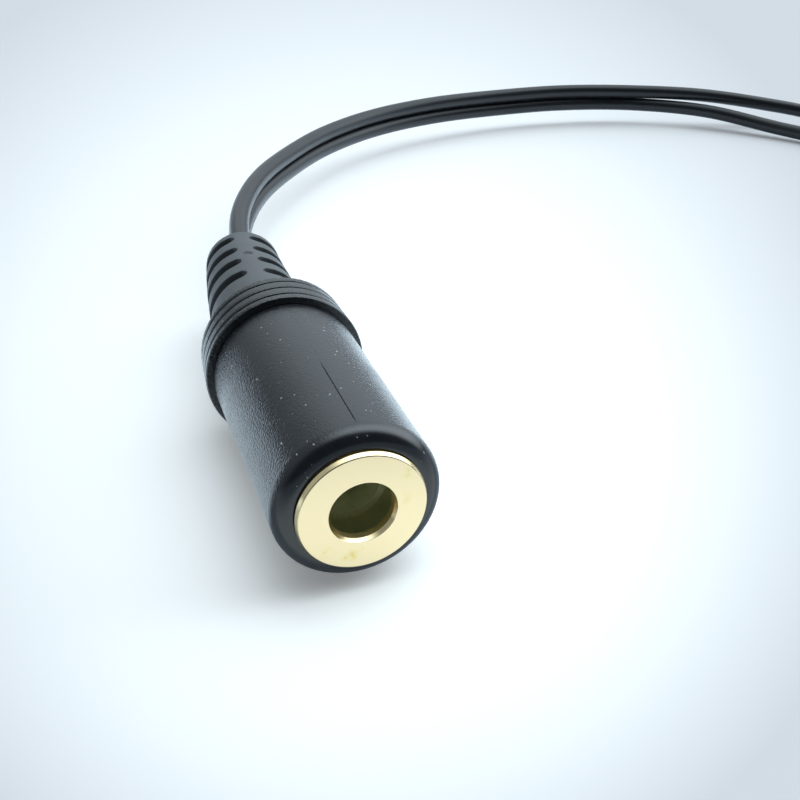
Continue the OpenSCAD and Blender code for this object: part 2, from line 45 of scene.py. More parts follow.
# Node trees: a node's inputs are values or other nodes' output sockets, and its outputs come back
def addNode(tree, kind, inputs=None, **settings):
    made = tree.nodes.new(kind)
    for key, value in settings.items():
        setattr(made, key, value)
    for key, value in (inputs or {}).items():
        if isinstance(value, bpy.types.NodeSocket):
            tree.links.new(value, made.inputs[key])
        else:
            made.inputs[key].default_value = value
    return made.outputs


def newTree(name, kind, ins, outs):
    tree = bpy.data.node_groups.new(name, kind)
    for way, sockets in (("INPUT", ins), ("OUTPUT", outs)):
        for title, socketKind, *value in sockets:
            socket = tree.interface.new_socket(title, in_out=way,
                                               socket_type="NodeSocket" + socketKind)
            if value:
                socket.default_value = value[0]
    return tree, tree.nodes.new("NodeGroupInput").outputs, tree.nodes.new("NodeGroupOutput").inputs


def maths(tree, operation, a, b=0.0):
    return addNode(tree, "ShaderNodeMath", {0: a, 1: b}, operation=operation)[0]


def closeTree(tree, outs, *values):
    # Links a tree's results to its outputs
    for value, out in zip(values, outs):
        tree.links.new(value, out)
    return tree


def times(tree, a, b):
    return maths(tree, "MULTIPLY", a, b)


def vectorMaths(tree, operation, a, b=(0.0, 0.0, 0.0), out="Vector"):
    return addNode(tree, "ShaderNodeVectorMath", {0: a, 1: b}, operation=operation)[out]


def scaleVector(tree, vector, scale):
    return addNode(tree, "ShaderNodeVectorMath", {0: vector, "Scale": scale}, operation="SCALE")[0]


def splitVector(tree, vector):
    return addNode(tree, "ShaderNodeSeparateXYZ", {0: vector})


def joinVector(tree, x, y, z):
    return addNode(tree, "ShaderNodeCombineXYZ", {0: x, 1: y, 2: z})[0]


def noise(tree, vector, scale, detail, **more):
    inputs = {"Vector": vector, "Scale": scale, "Detail": detail, **more}
    return addNode(tree, "ShaderNodeTexNoise", inputs)


def remap(tree, value, low, high, outLow=0.0, outHigh=1.0):
    return addNode(tree, "ShaderNodeMapRange", {0: value, 1: low, 2: high, 3: outLow, 4: outHigh},
                   interpolation_type="SMOOTHSTEP")[0]


def readField(tree, name, kind="FLOAT"):
    return addNode(tree, "GeometryNodeInputNamedAttribute", {0: name}, data_type=kind)[0]


def storeField(tree, geometry, name, value, kind):
    return addNode(tree, "GeometryNodeStoreNamedAttribute", {0: geometry, 2: name, 3: value},
                   data_type=kind, domain="POINT")[0]


def geometryTree(name, *ins):
    shape, material = ("Geometry", "Geometry"), ("Material", "Material")
    return newTree(name, "GeometryNodeTree", [shape, *ins, material], [shape])


def paintOut(tree, outs, geometry, material):
    # The last steps of every geometry tree
    real = addNode(tree, "GeometryNodeRealizeInstances", {0: geometry})[0]
    painted = addNode(tree, "GeometryNodeSetMaterial", {0: real, "Material": material})
    return closeTree(tree, outs, painted[0])


def addObject(name, data):
    made = bpy.data.objects.new(name, data)
    scene.collection.objects.link(made)
    return made


def keepShape(piece):
    # What an object's modifiers make becomes its own plain mesh
    shown = bpy.context.evaluated_depsgraph_get()
    made = bpy.data.meshes.new_from_object(piece.evaluated_get(shown),
                                           preserve_all_data_layers=True, depsgraph=shown)
    piece.modifiers.clear()
    piece.data = made
    return made


def growMesh(name, base, tree, values):
    # Runs a geometry tree on a base mesh and keeps the result as a plain mesh
    holder = addObject(name, base)
    modifier = holder.modifiers.new("grow", "NODES")
    modifier.node_group = tree
    for item in tree.interface.items_tree:
        if item.item_type == "SOCKET" and item.in_out == "INPUT" and item.name in values:
            modifier[item.identifier] = values[item.name]
    keepShape(holder)
    return holder


def joinPoints(mesh, distance, sharpAngle, faceOut=True):
    # Merges points that lie together and shades the mesh smooth between its sharp edges
    work = bmesh.new()
    work.from_mesh(mesh)
    bmesh.ops.remove_doubles(work, verts=work.verts, dist=distance * mm)
    if faceOut:
        bmesh.ops.recalc_face_normals(work, faces=work.faces)
    work.to_mesh(mesh)
    work.free()
    mesh.shade_smooth()
    mesh.set_sharp_from_angle(angle=math.radians(sharpAngle))


def storePoints(mesh, name, values):
    layer = mesh.attributes.new(name, "FLOAT", "POINT")
    layer.data.foreach_set("value", np.ravel(values).astype(np.float32))


# Meshes: points are numpy rows in millimetres, in the part's own frame
def meshPiece(name, points, faces, material, sharpAngle=40, merge=0.0005, deep=None):
    mesh = bpy.data.meshes.new(name)
    mesh.from_pydata((np.asarray(points, float).reshape(-1, 3) * mm).tolist(), [], faces)
    # The slot depth, which the material turns into painted shade
    if deep is not None:
        storePoints(mesh, "deep", deep)
    joinPoints(mesh, merge, sharpAngle)
    mesh.materials.append(material)
    return addObject(name, mesh)


def fixPiece(piece, node):
    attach(piece, "root")
    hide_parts(node)
    return piece


def gridFaces(rows, columns, closeRows):
    last = rows if closeRows else rows - 1
    return [(i * columns + j, i * columns + (j + 1) % columns,
             (i + 1) % rows * columns + (j + 1) % columns, (i + 1) % rows * columns + j)
            for i in range(last) for j in range(columns)]


def roundCorners(corners, steps=4, support=0.03):
    # Corners are (radius, distance, rounding); each rounding is an arc between two support points
    line = []
    count = len(corners)
    for i, (r, y, edge) in enumerate(corners):
        here = Vector((r, y))
        a = (Vector(corners[i - 1][:2]) - here).normalized()
        b = (Vector(corners[(i + 1) % count][:2]) - here).normalized()
        between = a.angle(b)
        if not edge or between > math.radians(178):
            line.append(here)
            continue
        reach = edge / math.tan(between / 2)
        centre = here + (a + b).normalized() * edge / math.sin(between / 2)
        start, end = here + a * reach, here + b * reach
        sweep = (start - centre).angle(end - centre)
        line.append(start + a * support)
        for k in range(steps + 1):
            t = k / steps
            line.append(centre + ((start - centre) * math.sin((1 - t) * sweep)
                                  + (end - centre) * math.sin(t * sweep)) / math.sin(sweep))
        line.append(end + b * support)
    return line


def divideLine(line, longest):
    # Adds points so that no stretch of a closed outline is longer than asked
    full = []
    for a, b in zip(line, line[1:] + line[:1]):
        pieces = max(1, math.ceil((b - a).length / longest))
        full += [a + (b - a) * k / pieces for k in range(pieces)]
    return full


def turnPoints(line, angles, axis, press=None):
    # Turns an outline round an axis; angles start at the top and go towards +X
    outline = np.array([tuple(p) for p in line])
    turn = np.asarray(angles)[None, :]
    r = np.repeat(outline[:, :1], len(angles), 1)
    y = np.repeat(outline[:, 1:], len(angles), 1)
    if press:
        r = press(r, y, turn)
    return np.stack([axis["x"] + r * np.sin(turn), axis["y"] + axis["way"] * y,
                     axis["z"] + r * np.cos(turn)], -1)


def turnedPiece(name, line, axis, slotName, node, count=160, angles=None, press=None,
                sharpAngle=40):
    angles = np.arange(count) * tau / count if angles is None else angles
    points = turnPoints(line, angles, axis, press)
    faces = gridFaces(len(line), len(angles), True)
    piece = meshPiece(name, points, faces, finishes[slotName], sharpAngle)
    return fixPiece(piece, node)


print("camera")
cameraView = dict(
    place=(-11.5563, -54.4336, 35.4794), yaw=0.3502, pitch=0.5426, focal=946.47, frame=800,
    sensor=36.0, clip=(0.001, 20))


def makeCamera(view):
    data = bpy.data.cameras.new("camera")
    camera = addObject("camera", data)
    yaw, pitch = view["yaw"], view["pitch"]
    forward = Vector((math.sin(yaw) * math.cos(pitch), math.cos(yaw) * math.cos(pitch),
                      -math.sin(pitch)))
    right = Vector((math.cos(yaw), -math.sin(yaw), 0))
    turned = Matrix((right, right.cross(forward), -forward)).transposed().to_4x4()
    turned.translation = Vector(view["place"]) * mm
    camera.matrix_world = turned
    data.sensor_width = view["sensor"]
    data.lens = view["focal"] / view["frame"] * view["sensor"]
    data.clip_start, data.clip_end = view["clip"]
    scene.camera = camera


makeCamera(cameraView)

print("finishes")


def shaderGroup(name, numbers, *outs):
    # A group takes a place and some numbers, and puts out numbers
    ins = [("Vector", "Vector"), *((title, "Float", value) for title, value in numbers.items())]
    return newTree(name, "ShaderNodeTree", ins, [(title, "Float") for title in outs])


def mouldGrainGroup():
    # Fine spark-eroded grain: a bumpy height, and a mask of its high spots
    tree, ins, outs = shaderGroup("mouldGrain", {"Grains Per Metre": 9000.0}, "Height", "Peaks")
    fine = noise(tree, ins[0], ins[1], 1.0, Roughness=0.45)["Fac"]
    return closeTree(tree, outs, fine, remap(tree, fine, 0.5, 0.75))


fleck = dict(warp=0.0003, leastSize=0.4, edge=(0.5, 1.0), faintest=0.15)


def fleckGroup():
    # Sparse small specks, such as dust: a share of the cells of a Voronoi pattern
    tree, ins, outs = shaderGroup("looseFlecks", {"Cells Per Metre": 3000.0, "Share": 0.05,
                                                  "Size": 0.2}, "Mask")
    warp = noise(tree, ins[0], ins[1], 1.0)["Color"]
    spread = addNode(tree, "ShaderNodeMix", {0: fleck["warp"], 4: ins[0], 5: warp},
                     data_type="VECTOR")[1]
    cells = addNode(tree, "ShaderNodeTexVoronoi", {"Vector": spread, "Scale": ins[1]})
    chosen = addNode(tree, "ShaderNodeSeparateColor", {0: cells["Color"]})
    picked = maths(tree, "LESS_THAN", chosen[0], ins[2])
    size = times(tree, maths(tree, "ADD", chosen[1], fleck["leastSize"]), ins[3])
    away = maths(tree, "DIVIDE", cells["Distance"], size)
    shape = times(tree, picked, remap(tree, away, *fleck["edge"], 1.0, 0.0))
    bright = remap(tree, chosen[2], 0.0, 1.0, fleck["faintest"], 1.0)
    return closeTree(tree, outs, times(tree, shape, bright))


def rubbedGroup():
    # Broad soft patches, where handling has changed the surface
    tree, ins, outs = shaderGroup("rubbedPatches", {"Patches Per Metre": 300.0, "Low": 0.4,
                                                    "High": 0.6}, "Mask")
    patches = noise(tree, ins[0], ins[1], 5.0, Roughness=0.6, Distortion=0.4)["Fac"]
    mask = addNode(tree, "ShaderNodeMapRange", {0: patches, 1: ins[2], 2: ins[3]})
    return closeTree(tree, outs, mask[0])


def turningGroup():
    # Fine rings left by the lathe round an axis along Y
    tree, ins, outs = shaderGroup("turningMarks", {"Rings Per Metre": 9000.0}, "Height")
    x, y, z = splitVector(tree, ins[0])
    radius = vectorMaths(tree, "LENGTH", joinVector(tree, x, z, 0.0), out="Value")
    return closeTree(tree, outs, noise(tree, joinVector(tree, radius, y, 0.0), ins[1], 2.0)["Fac"])


mouldGrain, looseFlecks = mouldGrainGroup(), fleckGroup()
rubbedPatches, turningMarks = rubbedGroup(), turningGroup()


def placeGroup(tree, group, *inputs):
    return addNode(tree, "ShaderNodeGroup", dict(enumerate(inputs)), node_tree=group)


def startMaterial(name, finish):
    material = bpy.data.materials.new(name)
    material.use_nodes = True
    shader = material.node_tree.nodes["Principled BSDF"]
    for title in ("Metallic", "Roughness", "Specular IOR Level"):
        if title in finish:
            shader.inputs[title].default_value = finish[title]
    material.diffuse_color = (*finish["colour"], 1)
    return material, material.node_tree


def coverShader(material, colour, rough, height, strength, depth):
    tree = material.node_tree
    shader = tree.nodes["Principled BSDF"]
    bump = addNode(tree, "ShaderNodeBump", {"Strength": strength, "Distance": depth * mm,
                                            "Height": height})[0]
    for title, value in (("Base Color", colour), ("Roughness", rough), ("Normal", bump)):
        tree.links.new(value, shader.inputs[title])
    return material


def mixColour(tree, factor, a, b):
    a, b = (c if isinstance(c, bpy.types.NodeSocket) else (*c, 1.0) for c in (a, b))
    return addNode(tree, "ShaderNodeMix", {0: factor, 6: a, 7: b}, data_type="RGBA")[2]


def surfacePlace(tree, centre=None):
    # Object coordinates, moved so that the pattern is centred on the piece
    here = addNode(tree, "ShaderNodeTexCoord")["Object"]
    if not centre:
        return here
    back = tuple(-c * mm for c in centre)
    return addNode(tree, "ShaderNodeMapping", {0: here, 1: back})[0]


def readAttribute(tree, name, out):
    return addNode(tree, "ShaderNodeAttribute", attribute_name=name)[out]


plasticPatches = (250.0, 0.35, 0.7)
dustColour = (0.55, 0.58, 0.6)


def plasticMaterial(name, finish):
    # Moulded plastic: grain in the height, rubbed patches in colour and roughness, a little dust,
    # and where asked a painted shade in the slots
    material, tree = startMaterial(name, finish)
    here = surfacePlace(tree)
    grain = placeGroup(tree, mouldGrain, here, finish["grains"])
    rubbed = placeGroup(tree, rubbedPatches, here, *plasticPatches)["Mask"]
    colour = mixColour(tree, rubbed, finish["colour"], finish["rubbedColour"])
    peaks = times(tree, grain["Peaks"], finish.get("peakTint", 0.3))
    colour = mixColour(tree, peaks, colour, finish["peakColour"])
    if "dust" in finish:
        dust = placeGroup(tree, looseFlecks, here, *finish["dust"])["Mask"]
        colour = mixColour(tree, dust, colour, dustColour)
    # Painted shade: points that lie deep in a slot are darkened towards a near-black colour
    if "deepColour" in finish:
        deep = readAttribute(tree, "deep", "Fac")
        colour = mixColour(tree, deep, colour, finish["deepColour"])
    rough = remap(tree, rubbed, 0.0, 1.0, finish["Roughness"], finish["rubbedRoughness"])
    height = grain["Height"]
    if "grainFrom" in finish:
        _, along, up = splitVector(tree, here)
        grained = remap(tree, along, *(place * mm for place in finish["grainFrom"]))
        worn = remap(tree, up, *(place * mm for place in finish["wornFrom"]), 1.0, finish["worn"])
        height = times(tree, height, times(tree, grained, worn))
    return coverShader(material, colour, rough, height, finish["grainStrength"],
                       finish["grainDepth"])


stainHigh, ringStrength = 0.85, 0.3
smudge = dict(perMetre=2200.0, torn=(0.4, 0.6), colour=(0.8, 0.66, 0.22), dullBlend=0.015)


def metalMaterial(name, finish):
    # Turned or plated metal: lathe rings in the height, tarnish in colour and roughness, and bands
    # from the mouth inwards whose deepest darkens the bore as painted shade
    material, tree = startMaterial(name, {**finish, "Metallic": 1.0})
    here = surfacePlace(tree, finish.get("centre"))
    rings = placeGroup(tree, turningMarks, here, finish["rings"])["Height"]
    stain = placeGroup(tree, rubbedPatches, here, finish["patches"], finish["stainLow"],
                       stainHigh)["Mask"]
    colour = mixColour(tree, stain, finish["colour"], finish["stainColour"])
    rough = remap(tree, stain, 0.0, 1.0, finish["Roughness"], finish["stainRoughness"])
    for across, up, size, share in finish.get("smudges", []):
        away = vectorMaths(tree, "DISTANCE", here, (across * mm, 0.0, up * mm), "Value")
        torn = remap(tree, noise(tree, here, smudge["perMetre"], 2.0)["Fac"], *smudge["torn"])
        near = remap(tree, away, 0.0, size * mm, share, 0.0)
        colour = mixColour(tree, times(tree, near, torn), colour, smudge["colour"])
    # Bands of colour and roughness from the mouth inwards; the deepest band's darker olive colour
    # is painted shade inside the bore
    for start, bandColour, rougher in finish.get("dullFrom", []):
        inside = remap(tree, splitVector(tree, here)[1], (start - smudge["dullBlend"]) * mm,
                       (start + smudge["dullBlend"]) * mm)
        colour = mixColour(tree, inside, colour, bandColour)
        rough = maths(tree, "ADD", rough, times(tree, inside, rougher))
    return coverShader(material, colour, rough, rings, ringStrength, finish["ringDepth"])


def jacketMaterial(name, finish):
    # Extruded cord jacket: drawn lines along its length, from the tube's own attribute
    material, tree = startMaterial(name, finish)
    drawn = addNode(tree, "ShaderNodeMapping", {0: readAttribute(tree, "skin", "Vector"),
                                                3: finish["lines"]})[0]
    lines = noise(tree, drawn, 1.0, 4.0)["Fac"]
    rubbed = placeGroup(tree, rubbedPatches, surfacePlace(tree), *finish["patches"])["Mask"]
    colour = mixColour(tree, rubbed, finish["colour"], finish["rubbedColour"])
    rough = remap(tree, lines, *finish["lineSpan"], finish["Roughness"], finish["rubbedRoughness"])
    return coverShader(material, colour, rough, lines, finish["lineStrength"],
                       finish["lineDepth"])


plasticTitles = ("colour", "rubbedColour", "peakColour", "Roughness", "rubbedRoughness",
                 "grains", "grainDepth", "grainStrength")
plasticRows = {
    "barrel_plastic": ((0.005, 0.007, 0.0105), (0.012, 0.0135, 0.017), (0.02, 0.024, 0.03),
                       0.2, 0.27, 8500.0, 0.068, 1.0),
    "collar_plastic": ((0.011, 0.0135, 0.0165), (0.016, 0.0185, 0.022), (0.022, 0.026, 0.032),
                       0.24, 0.34, 8000.0, 0.025, 1.0),
    "boot_plastic": ((0.085, 0.094, 0.1), (0.1, 0.11, 0.115), (0.13, 0.14, 0.145),
                     0.5, 0.62, 7000.0, 0.015, 0.4),
    "grip_plastic": ((0.03, 0.032, 0.035), (0.042, 0.045, 0.05), (0.07, 0.075, 0.08),
                     0.5, 0.6, 7000.0, 0.015, 0.4),
    "carrier_plastic": ((0.72, 0.76, 0.5), (0.76, 0.78, 0.54), (0.8, 0.8, 0.6),
                        0.5, 0.6, 5000.0, 0.01, 0.5),
    "inner_plastic": ((0.56, 0.56, 0.48), (0.63, 0.62, 0.54), (0.68, 0.68, 0.6),
                      0.5, 0.6, 4000.0, 0.02, 0.5),
    "white_band": ((0.7, 0.7, 0.67), (0.64, 0.64, 0.6), (0.76, 0.76, 0.74),
                   0.32, 0.42, 3000.0, 0.006, 0.5),
    "red_band": ((0.45, 0.012, 0.01), (0.38, 0.015, 0.012), (0.5, 0.03, 0.025),
                 0.32, 0.42, 3000.0, 0.006, 0.5),
    "insulator_white": ((0.62, 0.62, 0.59), (0.56, 0.555, 0.52), (0.68, 0.68, 0.66),
                        0.45, 0.55, 4000.0, 0.01, 0.5),
    "wire_insulation": ((0.6, 0.57, 0.42), (0.55, 0.52, 0.38), (0.65, 0.62, 0.48),
                        0.4, 0.5, 5000.0, 0.004, 0.5),
}
metalTitles = ("colour", "stainColour", "Roughness", "stainRoughness", "rings", "ringDepth",
               "patches", "stainLow")
metalRows = {
    "gilt_ring": ((0.957, 0.783, 0.493), (0.9, 0.72, 0.36),
                  0.12, 0.22, 12000.0, 0.002, 700.0, 0.6),
    "contact_metal": ((0.78, 0.66, 0.36), (0.6, 0.45, 0.2),
                      0.25, 0.4, 8000.0, 0.004, 900.0, 0.5),
    "tinned_metal": ((0.6, 0.6, 0.58), (0.45, 0.44, 0.42),
                     0.35, 0.5, 6000.0, 0.006, 700.0, 0.45),
    "copper_strand": ((0.75, 0.36, 0.2), (0.45, 0.2, 0.1),
                      0.3, 0.5, 15000.0, 0.01, 1200.0, 0.45),
    "solder": ((0.62, 0.63, 0.64), (0.5, 0.5, 0.49),
               0.22, 0.4, 2500.0, 0.01, 900.0, 0.5),
    "plug_metal": ((0.74, 0.72, 0.67), (0.62, 0.58, 0.5),
                   0.16, 0.3, 9000.0, 0.003, 300.0, 0.5),
}
# What only some finishes have; dust is cells per metre, share and size
finishExtras = {
    "barrel_plastic": {"Specular IOR Level": 0.75, "peakTint": 0.2, "dust": (2200.0, 0.8, 0.13),
                       "grainFrom": (-16.6, -16.15), "wornFrom": (7.0, 9.2), "worn": 0.35},
    "collar_plastic": {"Specular IOR Level": 0.65, "peakTint": 0.2, "dust": (2200.0, 0.3, 0.12)},
    # The boot's slot floors and walls take a painted shade
    "boot_plastic": {"deepColour": (0.004, 0.005, 0.006)},
    "grip_plastic": {"dust": (2500.0, 0.03, 0.16)},
    "gilt_ring": {"centre": (0, -17.335, 5.25),
                  "smudges": [(-2.05, -2.05, 0.5, 0.9), (-1.1, -2.72, 0.3, 1.0),
                              (-0.62, -2.6, 0.55, 0.9), (2.38, 1.96, 0.45, 0.7),
                              (-0.14, -2.2, 0.2, 1.0)],
                  "dullFrom": [(0.035, (0.95, 0.77, 0.44), 0.1), (0.25, (1.0, 0.8, 0.42), 0.25),
                               # From 0.7 mm inwards the bore is darkened: painted shade
                               (0.7, (0.74, 0.73, 0.5), 0.0)]},
}
jacketFinish = {"colour": (0.009, 0.011, 0.014), "rubbedColour": (0.016, 0.019, 0.023),
                "Roughness": 0.32, "rubbedRoughness": 0.4, "Specular IOR Level": 0.38,
                "lines": (3.0, 3.0, 60.0), "lineSpan": (0.3, 0.7), "lineStrength": 0.4,
                "lineDepth": 0.006, "patches": (120.0, 0.4, 0.75)}
finishes = {}
for make, titles, rows in ((plasticMaterial, plasticTitles, plasticRows),
                           (metalMaterial, metalTitles, metalRows)):
    for name, row in rows.items():
        finishes[name] = make(name, {**dict(zip(titles, row)), **finishExtras.get(name, {})})
finishes["lead_jacket"] = jacketMaterial("lead_jacket", jacketFinish)


print("leads")
leads = dict(
    radius=0.85, half=0.86, axisZ=5.25, sides=28, steps=10, jacket=0.18,
    inBoot=[(0.0058, 0.965), (0.2437, 9.5847), (0.9739, 17.0228)],
    together=[(2.9, 26.8, 5.15), (6.6, 36.2, 4.95), (11.9, 44.6, 4.65), (18.4, 52.2, 4.4),
              (26.4, 58.2, 4.2), (35.6, 62, 4), (45.4, 63.9, 3.7), (55.4, 63.7, 3.6),
              (65.1, 61.1, 3.4)],
    apart=[[(73.8, 56.7, 4), (82.8, 52.3, 2.8), (91.4, 47.4, 1.4), (98.6, 40.5, 1.9),
            (102.6, 31.8, 4.4)],
           [(73.2, 55.1, 2.3), (79.4, 47.6, 1.3), (84, 38.7, 1), (87.4, 29.3, 1.1),
            (88.9, 19.7, 3.1)]])
plugs = dict(x=(103, 89), y=(22, 10), z=5.8, leadIn=14)


def leadLift(side):
    # The left lead rides on the right one
    return (leads["half"], -leads["half"])[side]


def leadRoute(side):
    lift = leadLift(side)
    route = [(x, y, leads["axisZ"] + lift) for x, y in leads["inBoot"]]
    route += [(x, y, z + lift) for x, y, z in leads["together"]] + leads["apart"][side]
    return route + [(plugs["x"][side], plugs["y"][side] - d, plugs["z"])
                    for d in (0, plugs["leadIn"] / 2, plugs["leadIn"])]


def smoothRoute(route, steps):
    # The same curve that the tube follows
    points = np.array(route)
    last = len(points) - 1
    line = []
    for i in range(last):
        a, b, c, d = points[max(i - 1, 0)], points[i], points[i + 1], points[min(i + 2, last)]
        for t in np.arange(steps) / steps:
            line.append(0.5 * (2 * b + (c - a) * t + (2 * a - 5 * b + 4 * c - d) * t ** 2
                               + (3 * b - a - 3 * c + d) * t ** 3))
    return np.array(line + [points[last]]) * mm


def cordTree():
    # A tube round a smooth curve through the base mesh's points
    tree, ins, outs = geometryTree("roundCord", ("Radius", "Float", 0.001), ("Sides", "Int", 24),
                                   ("Steps", "Int", 8))
    line = addNode(tree, "GeometryNodeMeshToCurve", {0: ins[0]})[0]
    curved = addNode(tree, "GeometryNodeCurveSplineType", {0: line}, spline_type="CATMULL_ROM")
    fine = addNode(tree, "GeometryNodeSetSplineResolution", {0: curved[0], 2: ins[3]})
    flat = addNode(tree, "GeometryNodeSetCurveNormal", {0: fine[0]}, mode="Z_UP")
    length = addNode(tree, "GeometryNodeSplineParameter")["Length"]
    run = storeField(tree, flat[0], "run", length, "FLOAT")
    circle = addNode(tree, "GeometryNodeCurvePrimitiveCircle",
                     {"Resolution": ins[2], "Radius": ins[1]})[0]
    side = vectorMaths(tree, "NORMALIZE", addNode(tree, "GeometryNodeInputPosition")[0])
    around = storeField(tree, circle, "around", side, "FLOAT_VECTOR")
    tube = addNode(tree, "GeometryNodeCurveToMesh", {"Curve": run, "Profile Curve": around,
                                                     "Fill Caps": True})[0]
    x, y, _ = splitVector(tree, readField(tree, "around", "FLOAT_VECTOR"))
    kept = storeField(tree, tube, "skin", joinVector(tree, x, y, readField(tree, "run")),
                      "FLOAT_VECTOR")
    smooth = addNode(tree, "GeometryNodeSetShadeSmooth", {0: kept})[0]
    return paintOut(tree, outs, smooth, ins[4])


def makeLead(side, name, tree):
    route = leadRoute(side)
    base = bpy.data.meshes.new(name)
    base.from_pydata([tuple(c * mm for c in p) for p in route],
                     [(i, i + 1) for i in range(len(route) - 1)], [])
    piece = growMesh(name + "Lead", base, tree,
                     {"Radius": leads["radius"] * mm, "Sides": leads["sides"],
                      "Steps": leads["steps"], "Material": finishes["lead_jacket"]})
    fixPiece(piece, name + "_lead")
    return piece, smoothRoute(route, leads["steps"])


sides = ("left", "right")
leadTree = cordTree()
leadPieces = [makeLead(side, name, leadTree) for side, name in enumerate(sides)]

print("barrel")
socketAxis = dict(x=0.0, y=-17.335, z=5.25, way=1)
barrel = dict(
    ringR=3.525, frontR=4.7, backR=4.8, faceAt=0.4, endAt=15.9, edge=1.0, innerEdge=0.05,
    backEdge=0.12, longest=0.6, spigotR=4.2, spigotEnd=18.7, boreR=3.3, seatAt=1.2, seamTurn=2.0,
    seamFrom=1.4, seamDeepTo=7.6, seamDepth=0.05, seamFaint=0.15, seamHalf=0.035, columns=240)


def seamPress(r, y, turn):
    # Presses the fine moulding seam into the barrel's top, faint behind its first stretch
    off = np.abs(turn - math.radians(barrel["seamTurn"])) * barrel["frontR"] / barrel["seamHalf"]
    deep = np.where(y < barrel["seamDeepTo"], 1.0, barrel["seamFaint"])
    deep = deep * (y > barrel["seamFrom"]) * (r > barrel["frontR"] - 0.01)
    return r - barrel["seamDepth"] * deep * np.clip(1 - off, 0, 1)


def makeBarrel():
    b = barrel
    line = roundCorners([
        (b["ringR"], b["faceAt"], b["innerEdge"]), (b["frontR"], b["faceAt"], b["edge"]),
        (b["backR"], b["endAt"], b["backEdge"]), (b["spigotR"], b["endAt"], 0),
        (b["spigotR"], b["spigotEnd"], 0), (b["boreR"], b["spigotEnd"], 0),
        (b["boreR"], b["seatAt"], 0), (b["ringR"], b["seatAt"], 0)], steps=12)
    line = divideLine(line, b["longest"])
    even = np.arange(b["columns"]) * tau / b["columns"]
    seam = math.radians(b["seamTurn"])
    step = b["seamHalf"] / b["frontR"]
    near = seam + step * np.array([-2, -1, -0.5, 0, 0.5, 1, 2])
    angles = np.sort(np.concatenate([even[np.abs(even - seam) > 3 * step], near]))
    turnedPiece("frontBarrel", line, socketAxis, "barrel_plastic", "front_barrel",
                angles=angles, press=seamPress, sharpAngle=60)


makeBarrel()

print("gilt ring")
bush = dict(
    ringR=3.525, ringBack=1.2, tubeR=2.95, tubeEnd=5.4, noseR=2.45, carrierAt=2.6, undercutR=2.2,
    lipEnd=0.67, lipR=1.75, lipEdge=0.04, flareR=1.89, flareEnd=0.23, flareEdges=(0.03, 0.02),
    faceR=3.5, slopeR=3.62, proud=0.26, edge=0.07, backEdge=0.01)


def makeBush():
    # The ring's rim slopes back to the barrel, and its mouth is flared
    b = bush
    line = roundCorners([
        (b["lipR"], b["flareEnd"], b["flareEdges"][0]), (b["flareR"], 0, b["flareEdges"][1]),
        (b["faceR"], 0, b["edge"]), (b["slopeR"], b["proud"], b["backEdge"]),
        (b["ringR"], b["proud"] + 0.01, 0), (b["ringR"], b["ringBack"], 0),
        (b["tubeR"], b["ringBack"], 0), (b["tubeR"], b["tubeEnd"], 0),
        (b["noseR"], b["tubeEnd"], 0), (b["noseR"], b["carrierAt"], 0),
        (b["undercutR"], b["carrierAt"], 0), (b["undercutR"], b["lipEnd"], b["lipEdge"]),
        (b["lipR"], b["lipEnd"], b["lipEdge"])], steps=4, support=0.02)
    turnedPiece("giltRing", line, socketAxis, "gilt_ring", "sleeve_bush", count=240)


makeBush()

print("collar and boot")
collar = dict(
    ribs=[(16.0, 16.55), (16.75, 17.625), (17.825, 18.7), (18.9, 19.45)], ribR=(5.25, 5.1),
    depth=0.35, lean=0.12, bevel=(0.06, 0.12), edge=0.03, bevelEdges=(0.02, 0.03), longest=0.3,
    gap=0.09, boreR=4.2, wallAt=18.7, leadR=1.2, columns=720, chips=0.03, grains=6000.0,
    chipReach=(0.25, 0.2), chipRange=(0.45, 0.7))
boot = dict(
    length=14.95, rootR=3.8, tipR=2.9, coreR=2.0, bend=0.5, startY=2.115,
    slots=[5.4 + 2.6 * k for k in range(4)], slotW=1.22, spineW=1.2, rim=0.06, tipEdge=0.5,
    markAt=9.3, markR=0.4, markDepth=0.12, markEdge=0.15, foot=0.15)


def raggedTree():
    # Eats small chips out of the ribs' edges, where the mould has left them ragged
    tree, ins, outs = geometryTree("raggedEdges", ("Chips", "Float", 0.00002),
                                   ("Grains Per Metre", "Float", 3000.0))
    rough = addNode(tree, "ShaderNodeTexNoise", {"Scale": ins[2], "Detail": 3.0, "Roughness": 0.7})
    low, high = collar["chipRange"]
    eaten = addNode(tree, "ShaderNodeMapRange", {0: rough["Fac"], 1: low, 2: high, 4: -1.0})[0]
    chipped = times(tree, eaten, readField(tree, "edge"))
    normal = addNode(tree, "GeometryNodeInputNormal")[0]
    push = scaleVector(tree, normal, times(tree, chipped, ins[1]))
    moved = addNode(tree, "GeometryNodeSetPosition", {0: ins[0], "Offset": push})[0]
    return paintOut(tree, outs, moved, ins[3])


def ribAt(along):
    starts = [rib[0] for rib in collar["ribs"]]
    return np.clip(np.searchsorted(starts, along, "right") - 1, 0, len(starts) - 1)


